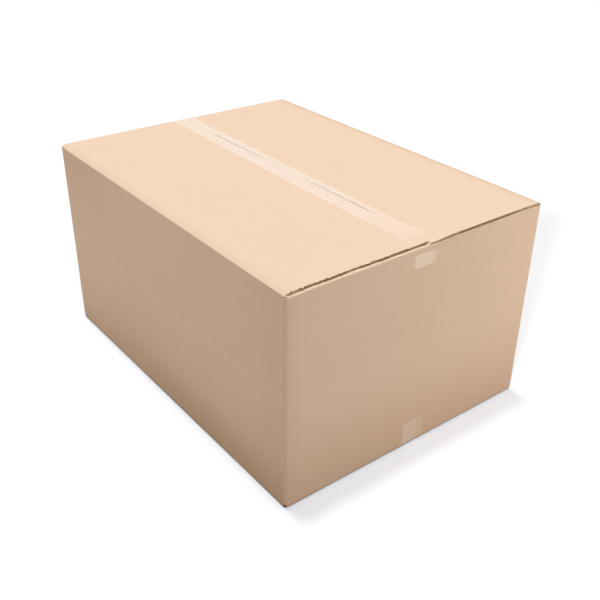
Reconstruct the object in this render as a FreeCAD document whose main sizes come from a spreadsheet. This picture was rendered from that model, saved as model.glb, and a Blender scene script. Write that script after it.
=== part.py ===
import FreeCAD, Part
import os
import Sketcher

# A closed shipping carton: one slotted blank of corrugated board, folded and glued into a sleeve
# with four flaps at the top and four at the bottom, and held shut by two strips of clear tape.
# X runs along the carton's length, Y across its width and Z up. The origin lies under its middle,
# on the surface that the carton stands on.

# The driving sizes in millimetres, each with what it measures
SIZES = {
    "length": (750, "outside, between the faces of the two end panels"),
    "width": (550, "outside, between the faces of the two long panels"),
    "height": (400, "outside, over the top and bottom flaps"),
    "board": (6, "thickness of the corrugated board"),
    "fold_radius": (4, "outer side of a fold"),
    "crease_radius": (1, "inner side of a fold"),
    "slot_relief": (2, "how far a corner slot runs past the fold of an end flap"),
    "flap_setback": (4, "from an end panel's face to the cut end of a long flap"),
    "side_clearance": (1, "between an end flap's cut side and the long panel beside it"),
    "flap_clearance": (0.3, "between an end flap and the long flaps over it"),
    "seam_gap": (2, "between the long flaps where they meet"),
    "seam_offset": (5, "from the middle of the width to that meeting line"),
    "glue_tab": (40, "width of the tab inside the glued corner"),
    "tab_taper": (12, "how much lower the tab's free edge is at each end"),
    "joint_gap": (0.8, "between the tab's fold and the raw edge outside it"),
    "score_height": (207, "from the underside to the level score line around the sleeve"),
    "score_width": (3, "width of the pressed score line"),
    "score_depth": (0.6, "depth of the pressed score line"),
    "tape_width": (48, "width of the clear tape"),
    "tape_thick": (0.1, "film and glue of the tape"),
    "top_tail": (36, "from the top down to the cut end of the top tape"),
    "bottom_tail": (50, "from the underside up to the cut end of the bottom tape"),
    "top_tape_rear": (7, "middle of the top tape at the rear end, across the width"),
    "top_tape_front": (2.5, "middle of the top tape at the front end"),
    "bottom_tape_middle": (6, "middle of the bottom tape at both ends"),
}

# Places that several pieces share, worked out from the sheet
HALF_LENGTH = "Sizes.length / 2"
HALF_WIDTH = "Sizes.width / 2"
OVER_BOTTOM = "(Sizes.board + Sizes.flap_clearance)"
UNDER_TOP = "(Sizes.height - Sizes.board - Sizes.flap_clearance)"
LOW_ROOT = "(Sizes.board + Sizes.flap_clearance + Sizes.slot_relief)"
HIGH_ROOT = "(Sizes.height - Sizes.board - Sizes.flap_clearance - Sizes.slot_relief)"


def size_sheet(doc):
    """Writes the driving sizes into a sheet, one row each."""
    sheet = doc.addObject("Spreadsheet::Sheet", "Sizes")
    for row, (name, (size, meaning)) in enumerate(SIZES.items(), start=1):
        sheet.set(f"A{row}", name)
        sheet.set(f"B{row}", str(size))
        sheet.setAlias(f"B{row}", name)
        sheet.set(f"C{row}", meaning)
    doc.recompute()
    return sheet


def sub_part(doc, label):
    """Adds a body that stands one tape thickness above the origin, because the bottom tape is under it."""
    body = doc.addObject("PartDesign::Body", label)
    body.Label = label
    body.setExpression("Placement.Base.z", "Sizes.tape_thick")
    return body


def sketch_on(body, role, name, offset=None):
    """Adds a sketch on one of the body's own planes, moved along the plane's normal by offset."""
    sketch = body.newObject("Sketcher::SketchObject", name)
    plane = next(item for item in body.Origin.OriginFeatures if item.Role == role)
    sketch.AttachmentSupport = [(plane, "")]
    sketch.MapMode = "FlatFace"
    if offset:
        sketch.setExpression("AttachmentOffset.Base.z", offset)
    return sketch


def tie(sketch, kind, line, expression):
    """Ties a line's first point to its distance from the sketch's origin, along x or y."""
    now = float(sketch.evalExpression(expression))
    index = sketch.addConstraint(Sketcher.Constraint(kind, -1, 1, line, 1, now))
    sketch.setExpression(f"Constraints[{index}]", expression)


def polygon(sketch, points):
    """Draws a closed outline of straight lines through points given as pairs of expressions."""
    places = [FreeCAD.Vector(float(sketch.evalExpression(x)), float(sketch.evalExpression(y)), 0) for x, y in points]
    count = len(points)
    lines = [
        sketch.addGeometry(Part.LineSegment(places[i], places[(i + 1) % count]), False) for i in range(count)
    ]
    for i, line in enumerate(lines):
        sketch.addConstraint(Sketcher.Constraint("Coincident", line, 2, lines[(i + 1) % count], 1))
        tie(sketch, "DistanceX", line, points[i][0])
        tie(sketch, "DistanceY", line, points[i][1])


def outline(sketch, corners):
    """Draws a closed outline of level and upright lines. A corner is its x, its y and its radius, or None
    for a sharp one, all as expressions. A rounded corner is an arc that is tangent to both its lines."""
    count = len(corners)
    spots = [FreeCAD.Vector(float(sketch.evalExpression(x)), float(sketch.evalExpression(y)), 0) for x, y, _ in corners]
    radii = [float(sketch.evalExpression(r)) if r else 0.0 for _, _, r in corners]
    ways = [(spots[(i + 1) % count] - spots[i]).normalize() for i in range(count)]
    lines = []
    for i in range(count):
        first = spots[i] + ways[i] * radii[i]
        last = spots[(i + 1) % count] - ways[i] * radii[(i + 1) % count]
        lines.append(sketch.addGeometry(Part.LineSegment(first, last), False))
        level = abs(ways[i].x) > abs(ways[i].y)
        sketch.addConstraint(Sketcher.Constraint("Horizontal" if level else "Vertical", lines[i]))
        if level:
            tie(sketch, "DistanceY", lines[i], corners[i][1])
        else:
            tie(sketch, "DistanceX", lines[i], corners[i][0])
    for i in range(count):
        before = lines[i - 1]
        if radii[i]:
            round_corner(sketch, before, lines[i], spots[i], ways[i - 1], ways[i], corners[i][2])
        else:
            sketch.addConstraint(Sketcher.Constraint("Coincident", before, 2, lines[i], 1))


def round_corner(sketch, before, after, spot, way_in, way_out, radius):
    """Joins two lines by an arc of the given radius."""
    size = float(sketch.evalExpression(radius))
    start = spot - way_in * size
    end = spot + way_out * size
    centre = start + way_out * size
    left_turn = way_in.cross(way_out).z > 0
    middle = centre + (spot - centre).normalize() * size
    curve = Part.Arc(start, middle, end) if left_turn else Part.Arc(end, middle, start)
    arc = sketch.addGeometry(curve, False)
    near, far = (1, 2) if left_turn else (2, 1)
    sketch.addConstraint(Sketcher.Constraint("Tangent", before, 2, arc, near))
    sketch.addConstraint(Sketcher.Constraint("Tangent", arc, far, after, 1))
    index = sketch.addConstraint(Sketcher.Constraint("Radius", arc, size))
    sketch.setExpression(f"Constraints[{index}]", radius)


def pad(body, sketch, name, length, symmetric=False):
    """Adds material along the sketch's normal, to one side or to both."""
    feature = body.newObject("PartDesign::Pad", name)
    feature.Profile = sketch
    if symmetric:
        feature.SideType = "Symmetric"
    feature.setExpression("Length", length)
    body.Document.recompute()
    return feature


def pocket(body, sketch, name, depth):
    """Cuts against the sketch's normal and checks that something came away."""
    before = body.Shape.Volume
    feature = body.newObject("PartDesign::Pocket", name)
    feature.Profile = sketch
    feature.setExpression("Length", depth)
    body.Document.recompute()
    if not body.Shape.Volume < before:
        raise RuntimeError(f"{name} cuts nothing")
    return feature


def flap_fold(free, face, inward, level, into, root):
    """Gives the section of one flap with its fold and the strip of panel beside the corner slots.
    The flap runs from its free edge to the panel's outer face, with its own outer face at the given
    level. inward and into are + or -, the ways from those two faces into the board."""
    inner_face = f"{face} {inward} Sizes.board"
    inner_level = f"{level} {into} Sizes.board"
    return [
        (free, level, None),
        (face, level, "Sizes.fold_radius"),
        (face, root, None),
        (inner_face, root, None),
        (inner_face, inner_level, "Sizes.crease_radius"),
        (free, inner_level, None),
    ]


def sleeve(body):
    """Pads the four panels between the slots. At the front left corner the near panel's tab is glued
    inside the end panel, whose raw edge shows."""
    sketch = sketch_on(body, "XY_Plane", "sleeve_plan", LOW_ROOT)
    raw_edge = f"{HALF_LENGTH} - Sizes.board"
    tab_fold = f"{HALF_LENGTH} - Sizes.board - Sizes.joint_gap"
    near_inside = f"-{HALF_WIDTH} + Sizes.board"
    far_inside = f"{HALF_WIDTH} - Sizes.board"
    rear_inside = f"-{HALF_LENGTH} + Sizes.board"
    tab_face = f"{HALF_LENGTH} - 2 * Sizes.board"
    tab_end = f"-{HALF_WIDTH} + Sizes.board + Sizes.glue_tab"
    outline(sketch, [
        (f"-{HALF_LENGTH}", f"-{HALF_WIDTH}", "Sizes.fold_radius"),
        (tab_fold, f"-{HALF_WIDTH}", "Sizes.fold_radius"),
        (tab_fold, near_inside, None),
        (raw_edge, near_inside, None),
        (raw_edge, f"-{HALF_WIDTH}", None),
        (HALF_LENGTH, f"-{HALF_WIDTH}", None),
        (HALF_LENGTH, HALF_WIDTH, "Sizes.fold_radius"),
        (f"-{HALF_LENGTH}", HALF_WIDTH, "Sizes.fold_radius"),
    ])
    outline(sketch, [
        (rear_inside, near_inside, "Sizes.crease_radius"),
        (tab_face, near_inside, "Sizes.crease_radius"),
        (tab_face, tab_end, None),
        (raw_edge, tab_end, None),
        (raw_edge, far_inside, "Sizes.crease_radius"),
        (rear_inside, far_inside, "Sizes.crease_radius"),
    ])
    pad(body, sketch, "sleeve", f"{HIGH_ROOT} - {LOW_ROOT}")


def long_flaps(body):
    """Pads the four outer flaps, which meet in pairs along the two seams."""
    sketch = sketch_on(body, "YZ_Plane", "long_flap_sections")
    near_edge = "Sizes.seam_offset - Sizes.seam_gap / 2"
    far_edge = "Sizes.seam_offset + Sizes.seam_gap / 2"
    for level, into, root in (("Sizes.height", "-", HIGH_ROOT), ("0", "+", LOW_ROOT)):
        outline(sketch, flap_fold(near_edge, f"-{HALF_WIDTH}", "+", level, into, root))
        outline(sketch, flap_fold(far_edge, HALF_WIDTH, "-", level, into, root))
    pad(body, sketch, "long_flaps", "Sizes.length - 2 * Sizes.flap_setback", symmetric=True)


def end_flaps(body):
    """Pads the four inner flaps, cut as deep as the outer ones, so that they stop short of each other."""
    sketch = sketch_on(body, "XZ_Plane", "end_flap_sections")
    free = f"({HALF_LENGTH} - (Sizes.width - Sizes.seam_gap) / 2)"
    for level, into, root in ((UNDER_TOP, "-", HIGH_ROOT), (OVER_BOTTOM, "+", LOW_ROOT)):
        outline(sketch, flap_fold(free, HALF_LENGTH, "-", level, into, root))
        outline(sketch, flap_fold(f"-{free}", f"-{HALF_LENGTH}", "+", level, into, root))
    span = "Sizes.width - 2 * (Sizes.board + Sizes.side_clearance)"
    pad(body, sketch, "end_flaps", span, symmetric=True)


def glued_corner_slots(body):
    """Cuts the near panel's flaps free of the end panel's raw edge, at the top and at the bottom."""
    sketch = sketch_on(body, "XZ_Plane", "glued_corner_slot_plan", HALF_WIDTH)
    rear = f"{HALF_LENGTH} - Sizes.board - Sizes.joint_gap"
    for low, high in ((HIGH_ROOT, "Sizes.height - Sizes.board"), ("Sizes.board", LOW_ROOT)):
        outline(sketch, [(rear, low, None), (HALF_LENGTH, low, None), (HALF_LENGTH, high, None), (rear, high, None)])
    pocket(body, sketch, "glued_corner_slots", "Sizes.board")


def tab_ends(body):
    """Cuts the glue tab's two ends aslant, as on the flat blank, and clear of the folded end flaps."""
    sketch = sketch_on(body, "YZ_Plane", "tab_end_plan", f"{HALF_LENGTH} - Sizes.board")
    fold = f"-{HALF_WIDTH} + Sizes.board"
    free = f"-{HALF_WIDTH} + Sizes.board + Sizes.glue_tab"
    reach = "Sizes.board + Sizes.side_clearance"
    for root, level, into in ((HIGH_ROOT, UNDER_TOP, "-"), (LOW_ROOT, OVER_BOTTOM, "+")):
        end = f"{level} {into} ({reach})"
        polygon(sketch, [(fold, root), (fold, end), (free, f"{end} {into} Sizes.tab_taper"), (free, root)])
    pocket(body, sketch, "tab_ends", "Sizes.board")


def score_line(body):
    """Presses a level line into the outer faces, right round the sleeve."""
    sketch = sketch_on(body, "XY_Plane", "score_plan", "Sizes.score_height + Sizes.score_width / 2")
    outer_x = f"{HALF_LENGTH} + Sizes.score_depth"
    outer_y = f"{HALF_WIDTH} + Sizes.score_depth"
    inner_x = f"{HALF_LENGTH} - Sizes.score_depth"
    inner_y = f"{HALF_WIDTH} - Sizes.score_depth"
    radius = "Sizes.fold_radius - Sizes.score_depth"
    outline(sketch, [
        (f"-({outer_x})", f"-({outer_y})", None),
        (outer_x, f"-({outer_y})", None),
        (outer_x, outer_y, None),
        (f"-({outer_x})", outer_y, None),
    ])
    outline(sketch, [
        (f"-({inner_x})", f"-({inner_y})", radius),
        (inner_x, f"-({inner_y})", None),
        (inner_x, inner_y, radius),
        (f"-({inner_x})", inner_y, radius),
    ])
    pocket(body, sketch, "score_line", "Sizes.score_width")


def carton(doc):
    """Builds the folded and glued blank as one sheet."""
    body = sub_part(doc, "carton")
    sleeve(body)
    tab_ends(body)
    long_flaps(body)
    end_flaps(body)
    glued_corner_slots(body)
    score_line(body)
    return body


def tape(doc, label, level, outward, ledge, tail, rear_middle, front_middle):
    """Builds a strip of tape that lies over a seam and is pressed down on both end panels.
    level is the face that it lies on, outward is + or -, the way from that face out of the carton,
    ledge is where it lands on the end panels and tail is where it is cut off."""
    body = sub_part(doc, label)
    profile = sketch_on(body, "XZ_Plane", f"{label}_profile")
    over_flap = f"{HALF_LENGTH} - Sizes.flap_setback"
    outside = f"({HALF_LENGTH} + Sizes.tape_thick)"
    inner = [(HALF_LENGTH, tail), (HALF_LENGTH, ledge), (over_flap, level)]
    outer = [
        (f"{over_flap} + Sizes.tape_thick", f"{level} {outward} Sizes.tape_thick"),
        (outside, f"{ledge} {outward} Sizes.tape_thick"),
        (outside, tail),
    ]
    front_half = inner + outer
    rear = [(f"-({x})", z) for x, z in front_half]
    polygon(profile, inner + rear[2::-1] + rear[:2:-1] + outer)
    pad(body, profile, f"{label}_sheet", "Sizes.width", symmetric=True)

    waste = sketch_on(body, "XY_Plane", f"{label}_waste", "Sizes.height + Sizes.tape_thick")
    for side, edge in (("-", f"-{HALF_WIDTH}"), ("+", HALF_WIDTH)):
        polygon(waste, [
            (f"-{outside}", edge),
            (outside, edge),
            (outside, f"{front_middle} {side} Sizes.tape_width / 2"),
            (f"-{outside}", f"{rear_middle} {side} Sizes.tape_width / 2"),
        ])
    pocket(body, waste, f"{label}_strip", "Sizes.height + 2 * Sizes.tape_thick")
    return body


def check(doc, bodies):
    """Stops if anything in the document failed or a sub-part isn't one sound solid."""
    for item in doc.Objects:
        if "Invalid" in item.State or "Error" in item.State:
            raise RuntimeError(f"{item.Label} failed: {item.State}")
    for body in bodies:
        shape = body.Shape
        if shape.isNull() or not shape.isValid() or len(shape.Solids) != 1:
            raise RuntimeError(f"{body.Label} is not one sound solid")
        box = shape.BoundBox
        FreeCAD.Console.PrintMessage(
            f"{body.Label}: {shape.Volume / 1000:.1f} cm3, x {box.XMin:.2f} to {box.XMax:.2f}, "
            f"y {box.YMin:.2f} to {box.YMax:.2f}, z {box.ZMin:.2f} to {box.ZMax:.2f}\n"
        )


def main():
    """Builds the carton and its two tapes and writes each to a file."""
    doc = FreeCAD.newDocument("Carton")
    size_sheet(doc)
    bodies = [
        carton(doc),
        tape(
            doc, "top_tape", "Sizes.height", "+", UNDER_TOP, "Sizes.height - Sizes.top_tail",
            "Sizes.top_tape_rear", "Sizes.top_tape_front",
        ),
        tape(
            doc, "bottom_tape", "0", "-", OVER_BOTTOM, "Sizes.bottom_tail",
            "Sizes.bottom_tape_middle", "Sizes.bottom_tape_middle",
        ),
    ]
    doc.recompute()
    check(doc, bodies)
    os.makedirs("parts", exist_ok=True)
    for body in bodies:
        body.Shape.exportStep(f"parts/{body.Label}.step")


main()
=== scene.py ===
"""A closed shipping carton of plain corrugated board, taped shut, on a white studio floor."""

import logging
import math
from dataclasses import dataclass, field
from enum import Enum
from typing import Any, Callable, Sequence

import bmesh
import bpy
from mathutils import Matrix, Vector


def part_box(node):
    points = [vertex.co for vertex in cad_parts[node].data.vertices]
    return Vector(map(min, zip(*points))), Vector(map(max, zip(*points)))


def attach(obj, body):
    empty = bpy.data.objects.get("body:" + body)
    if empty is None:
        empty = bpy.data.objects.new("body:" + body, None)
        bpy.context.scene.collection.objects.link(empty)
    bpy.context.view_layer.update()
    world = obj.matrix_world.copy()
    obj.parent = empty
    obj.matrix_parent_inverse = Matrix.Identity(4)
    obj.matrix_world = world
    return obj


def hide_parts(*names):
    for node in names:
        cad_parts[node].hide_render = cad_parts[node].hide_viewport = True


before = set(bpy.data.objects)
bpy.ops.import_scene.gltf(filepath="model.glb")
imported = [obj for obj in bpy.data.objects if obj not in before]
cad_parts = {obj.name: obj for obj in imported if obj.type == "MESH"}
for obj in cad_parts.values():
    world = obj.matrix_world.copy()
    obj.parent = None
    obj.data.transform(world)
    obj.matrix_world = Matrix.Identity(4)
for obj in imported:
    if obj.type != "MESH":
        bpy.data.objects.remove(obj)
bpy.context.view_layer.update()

Pair = tuple[float, float]
Place = tuple[float, float, float]
Colour = tuple[float, float, float, float]

LOG = logging.getLogger("carton")
MM = 0.001

# Two places nearer to each other than this are the same
CLOSE = 0.05 * MM

# A face whose normal lies this much along an axis is square to it
UPRIGHT = 0.9

# The Mix node's own sockets for a factor, two colours and their blend
MIX_FACTOR, MIX_FIRST, MIX_SECOND, MIX_RESULT = 0, 6, 7, 2

# Where the middle of each tape runs, as pairs of x and y from the rear to the front
TOP_WANDER = ((-0.375, 0.0048), (-0.2, 0.0008), (0.06, -0.0030), (0.34, -0.0032), (0.375, -0.0015))
BOTTOM_WANDER = ((-0.375, 0.006), (0.375, 0.006))


class Part(Enum):
    """What is selected in edit mode."""

    VERT = "VERT"
    EDGE = "EDGE"
    FACE = "FACE"


class Side(Enum):
    """The face of the carton that a tape lies on."""

    TOP = 1
    BOTTOM = -1


class BoardFace(Enum):
    """The carton's material slots, in their order."""

    OUTSIDE = 0
    INSIDE = 1
    CUT = 2
    RAW_CORNER = 3
    # A near-black painted shadow for the opening at the glued corner's foot
    CORNER_GAP_SHADOW = 4


# Shader maths


class Signal:
    """Wraps a shader socket, so that maths on it reads as maths."""

    def __init__(self, bench: "NodeBench", socket: bpy.types.NodeSocket) -> None:
        """Keeps the socket and the bench that adds nodes for it."""
        self.bench = bench
        self.socket = socket

    def _math(self, operation: str, *values: Any) -> "Signal":
        """Adds a Math node on the given values."""
        return self.bench.node("ShaderNodeMath", {"operation": operation}, dict(enumerate(values)))

    def __add__(self, other: Any) -> "Signal":
        """Adds."""
        return self._math("ADD", self, other)

    __radd__ = __add__

    def __sub__(self, other: Any) -> "Signal":
        """Subtracts."""
        return self._math("SUBTRACT", self, other)

    def __rsub__(self, other: Any) -> "Signal":
        """Subtracts from a number."""
        return self._math("SUBTRACT", other, self)

    def __mul__(self, other: Any) -> "Signal":
        """Multiplies."""
        return self._math("MULTIPLY", self, other)

    __rmul__ = __mul__

    def __truediv__(self, other: Any) -> "Signal":
        """Divides."""
        return self._math("DIVIDE", self, other)

    def __rtruediv__(self, other: Any) -> "Signal":
        """Divides a number."""
        return self._math("DIVIDE", other, self)

    def __abs__(self) -> "Signal":
        """Drops the sign."""
        return self._math("ABSOLUTE", self)

    def __gt__(self, other: Any) -> "Signal":
        """Is 1 where this is more than the other, and 0 elsewhere."""
        return self._math("GREATER_THAN", self, other)

    def root(self) -> "Signal":
        """Takes the square root."""
        return self._math("SQRT", self)

    def highest(self, other: Any) -> "Signal":
        """Takes the higher of the two."""
        return self._math("MAXIMUM", self, other)

    def wave(self, length: float) -> "Signal":
        """Gives a sine of this distance, from -1 to 1.

        Args:
            length: the wave's length, in this signal's own units.

        Returns:
            The wave.
        """
        return self._math("SINE", self * (2 * math.pi / length))

    def between(self, low: float, high: float) -> "Signal":
        """Rises smoothly from 0 at low to 1 at high.

        Args:
            low: where it is still 0.
            high: where it is 1.

        Returns:
            The smooth step.
        """
        settings = {"interpolation_type": "SMOOTHSTEP"}
        return self.bench.node("ShaderNodeMapRange", settings, {"Value": self, "From Min": low, "From Max": high})


class NodeBench:
    """Builds one material's nodes."""

    def __init__(self, name: str) -> None:
        """Starts an empty material with its output."""
        self.material = bpy.data.materials.new(name)
        self.material.use_nodes = True
        self.tree = self.material.node_tree
        self.tree.nodes.clear()
        self.output = self.add("ShaderNodeOutputMaterial", {}, {})

    def add(self, kind: str, settings: dict[str, Any], inputs: dict[Any, Any]) -> bpy.types.Node:
        """Adds any node.

        Args:
            kind: the node's type.
            settings: its properties, set before its sockets.
            inputs: socket name or number to a signal, number, colour or vector.

        Returns:
            The node.
        """
        made = self.tree.nodes.new(kind)
        for key, value in settings.items():
            setattr(made, key, value)
        for key, value in inputs.items():
            socket = made.inputs[key]
            if isinstance(value, Signal):
                self.tree.links.new(value.socket, socket)
            else:
                socket.default_value = value
        return made

    def node(self, kind: str, settings: dict[str, Any], inputs: dict[Any, Any], output: Any = 0) -> Signal:
        """Adds any node and gives one of its outputs, by name or number."""
        return Signal(self, self.add(kind, settings, inputs).outputs[output])

    def place(self) -> Signal:
        """Gives the object's own coordinates, in metres."""
        return self.node("ShaderNodeTexCoord", {}, {}, "Object")

    def axes(self, place: Signal) -> tuple[Signal, Signal, Signal]:
        """Splits a place into its x, y and z."""
        split = self.add("ShaderNodeSeparateXYZ", {}, {0: place})
        return tuple(Signal(self, socket) for socket in split.outputs)

    def stretched(self, place: Signal, scale: Sequence[float]) -> Signal:
        """Scales a place by a different amount along each axis."""
        return self.node("ShaderNodeVectorMath", {"operation": "MULTIPLY"}, {0: place, 1: scale})

    def noise(self, place: Signal, scale: float, detail: float = 2.0, roughness: float = 0.5) -> Signal:
        """Gives noise from about 0 to 1.

        Args:
            place: where the noise is read.
            scale: blotches per metre.
            detail: how many finer layers it has.
            roughness: how strong the finer layers are.

        Returns:
            The noise.
        """
        inputs = {"Vector": place, "Scale": scale, "Detail": detail, "Roughness": roughness}
        return self.node("ShaderNodeTexNoise", {}, inputs, "Fac")

    def blend(self, first: Any, second: Any, factor: Any) -> Signal:
        """Mixes two colours.

        Args:
            first: the colour at 0.
            second: the colour at 1.
            factor: how much of the second.

        Returns:
            The blend.
        """
        settings = {"data_type": "RGBA", "blend_type": "MIX", "clamp_factor": True}
        inputs = {MIX_FACTOR: factor, MIX_FIRST: first, MIX_SECOND: second}
        return self.node("ShaderNodeMix", settings, inputs, MIX_RESULT)

    def bump(self, height: Signal, depth: float, strength: float) -> Signal:
        """Turns a height from 0 to 1 into a normal.

        Args:
            height: the relief.
            depth: how deep it is, in metres.
            strength: how much of it is used.

        Returns:
            The normal.
        """
        return self.node("ShaderNodeBump", {}, {"Height": height, "Distance": depth, "Strength": strength})

    def show(self, shader: Signal) -> None:
        """Links a shader to the output."""
        self.tree.links.new(shader.socket, self.output.inputs["Surface"])

    def finish(self, inputs: dict[str, Any]) -> bpy.types.Material:
        """Shows a Principled shader with these inputs and gives the material."""
        self.show(self.node("ShaderNodeBsdfPrincipled", {}, inputs))
        return self.material


class WorldBench(NodeBench):
    """Builds the world's nodes."""

    def __init__(self, world: bpy.types.World) -> None:
        """Starts from the world's own empty tree."""
        self.tree = world.node_tree
        self.output = self.add("ShaderNodeOutputWorld", {}, {})


def colour(red: float, green: float, blue: float) -> Colour:
    """Gives a colour with full strength, in linear light."""
    return (red, green, blue, 1.0)


def grey(level: float) -> Colour:
    """Gives a grey."""
    return colour(level, level, level)


def lens_rays(bench: NodeBench) -> Signal:
    """Is 1 for what the lens, a reflection or a clear film shows, and 0 for light on the object.

    Args:
        bench: adds the nodes.

    Returns:
        The mask.
    """
    path = bench.add("ShaderNodeLightPath", {}, {})
    camera, glossy, through = (
        Signal(bench, path.outputs[name]) for name in ("Is Camera Ray", "Is Glossy Ray", "Is Transmission Ray")
    )
    return camera.highest(glossy).highest(through)


# Finishes


@dataclass(frozen=True)
class Spot:
    """Where on the board a finish is read, and whether that is on an end panel or on the near long one."""

    x: Signal
    y: Signal
    z: Signal
    on_end: Signal
    on_near: Signal


@dataclass(frozen=True)
class KraftLiner:
    """Plain brown liner of the board: mottled, fibrous, with faint ribs from the waves under it.

    A share says how strongly a tone is laid over the liner. A pair is where it starts and where it is full.
    """

    name: str
    # Farther out than these, a face belongs to an end panel or to a long one
    panel_x: float = 0.3745
    panel_y: float = 0.2745
    # The paper
    base: Colour = colour(0.72, 0.504, 0.350)
    deep: Colour = colour(0.685, 0.475, 0.325)
    pale: Colour = colour(0.75, 0.535, 0.38)
    deep_to_base: Pair = (0.0, 0.55)
    base_to_pale: Pair = (0.55, 1.05)
    cloud_scale: float = 5.0
    cloud_share: float = 0.55
    patch_scale: float = 38.0
    patch_share: float = 0.75
    patch_relief: float = 0.3
    fibre_length: float = 2.6 * MM
    fibre_width: float = 0.45 * MM
    fibre_share: float = 1.1
    fibre_relief: float = 0.5
    rib_pitch: float = 7.6 * MM
    rib_share: float = 0.02
    rib_relief: float = 0.16
    speck: Colour = colour(0.36, 0.22, 0.12)
    speck_scale: float = 620.0
    speck_span: Pair = (0.735, 0.80)
    speck_share: float = 0.55
    relief: float = 0.10 * MM
    relief_share: float = 0.7
    roughness: float = 0.78
    roughness_share: float = 0.12
    gloss: float = 0.35
    # Painted light and shade: a paler lit top whose shoulders by the folds get painted shade, and painted shade
    # towards the foot and on the upper rear of the near long panel
    lit: Colour = colour(0.755, 0.605, 0.462)
    lit_shaded_shoulder: Colour = colour(0.63, 0.505, 0.38)
    shaded_shoulder_y: Pair = (0.25, 0.27)
    lit_z: Pair = (0.390, 0.396)
    lit_share: float = 0.45
    foot: Colour = colour(0.62, 0.373, 0.2275)
    foot_top: float = 0.2
    foot_share: float = 0.42
    rear_x: Pair = (-0.36, -0.18)
    rear_lowering: float = 2.0
    rear_top_x: Pair = (-0.36, -0.05)
    rear_top_z: Pair = (0.18, 0.40)
    rear_top_share: float = 0.3
    # Painted shade: a dark line along the foot, and a darker low band on the near long panel
    bottom_line_shade: Colour = colour(0.30, 0.22, 0.16)
    bottom_line_top: float = 6 * MM
    bottom_line_share: float = 0.8
    near_low_shade: Colour = colour(0.40, 0.23, 0.12)
    near_low_top: float = 0.11
    near_low_x: Pair = (-0.40, 0.15)
    near_low_share: float = 0.46
    # Painted shade beside the glued corner and on its raw edge, and the pressed score line's painted shade and
    # highlight
    painted_shade_tone: Colour = colour(0.50, 0.33, 0.21)
    corner_x: Pair = (0.25, 0.365)
    corner_y: Pair = (-0.275, -0.235)
    corner_share: float = 0.18
    raw_edge_x: float = 0.3721
    raw_edge_y: Pair = (-0.2742, -0.270)
    raw_edge_share: float = 0.6
    score_dip: float = 196 * MM
    score_dip_share: float = 0.14
    score_ridge: float = 210.5 * MM
    score_ridge_share: float = 0.18
    score_half: float = 6 * MM

    def make(self) -> bpy.types.Material:
        """Builds the material.

        Returns:
            The finished material.
        """
        bench = NodeBench(self.name)
        place = bench.place()
        x, y, z = bench.axes(place)
        spot = Spot(x, y, z, abs(x) > self.panel_x, (0 - y) > self.panel_y)
        ribs = (x * (1 - spot.on_end) + y * spot.on_end).wave(self.rib_pitch)
        cloud = bench.noise(place, self.cloud_scale, 3.0)
        patches = bench.noise(place, self.patch_scale, 4.0, 0.6)
        fibres = self._fibres(bench, place)
        tone = (cloud - 0.5) * self.cloud_share + (patches - 0.5) * self.patch_share
        tone = tone + (fibres - 0.5) * self.fibre_share + ribs * self.rib_share + 0.5
        body = bench.blend(self.deep, self.base, tone.between(*self.deep_to_base))
        body = bench.blend(body, self.pale, tone.between(*self.base_to_pale))
        for lay in (self._shade, self._shade_bottom, self._shade_corner, self._score):
            body = lay(bench, body, spot)
        specks = bench.noise(place, self.speck_scale, 1.0).between(*self.speck_span)
        body = bench.blend(body, self.speck, specks * self.speck_share)
        height = fibres * self.fibre_relief + patches * self.patch_relief + ribs * self.rib_relief
        return bench.finish({
            "Base Color": body,
            "Roughness": self.roughness + (fibres - 0.5) * self.roughness_share,
            "Specular IOR Level": self.gloss,
            "Normal": bench.bump(height, self.relief, self.relief_share),
        })

    def _fibres(self, bench: NodeBench, place: Signal) -> Signal:
        """Lays short fibres along each of the three axes and gives their mean.

        Args:
            bench: adds the nodes.
            place: where the fibres are read.

        Returns:
            The fibres, from about 0 to 1.
        """
        layers = []
        for axis in range(3):
            scale = [1 / self.fibre_width] * 3
            scale[axis] = 1 / self.fibre_length
            layers.append(bench.noise(bench.stretched(place, scale), 1.0, 2.0, 0.6))
        return (layers[0] + layers[1] + layers[2]) / 3

    def _shade(self, bench: NodeBench, body: Signal, spot: Spot) -> Signal:
        """Paints light on the top, with painted shade at its shoulders, and paints shade towards the foot and on the
        rear end's upper part.

        Args:
            bench: adds the nodes.
            body: the colour so far.
            spot: where it is read.

        Returns:
            The colour with this laid over it.
        """
        # Painted light on the top, turning to painted shade at the shoulders by the long folds
        lit = bench.blend(self.lit, self.lit_shaded_shoulder, abs(spot.y).between(*self.shaded_shoulder_y))
        body = bench.blend(body, lit, spot.z.between(*self.lit_z) * self.lit_share)
        # Painted shade towards the foot, reaching less high at the rear end
        rear = 1 - spot.x.between(*self.rear_x)
        foot = 1 - (spot.z * (rear * self.rear_lowering + 1)).between(0.0, self.foot_top)
        body = bench.blend(body, self.foot, foot * self.foot_share)
        # Painted shade on the upper rear of the near long panel
        rear_top = (1 - spot.x.between(*self.rear_top_x)) * spot.z.between(*self.rear_top_z) * spot.on_near
        return bench.blend(body, self.painted_shade_tone, rear_top * self.rear_top_share)

    def _shade_bottom(self, bench: NodeBench, body: Signal, spot: Spot) -> Signal:
        """Paints shade in a line along the foot, and a wider band of it low on the near long panel.

        Args:
            bench: adds the nodes.
            body: the colour so far.
            spot: where it is read.

        Returns:
            The colour with this laid over it.
        """
        # Painted shade: a dark line along the foot of every panel
        body = bench.blend(body, self.bottom_line_shade, (1 - spot.z.between(0.0, self.bottom_line_top)) * self.bottom_line_share)
        # Painted shade low on the near long panel, growing towards the glued corner
        near_low_shade = (1 - spot.z.between(0.0, self.near_low_top)) * spot.x.between(*self.near_low_x) * spot.on_near
        return bench.blend(body, self.near_low_shade, near_low_shade * self.near_low_share)

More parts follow.
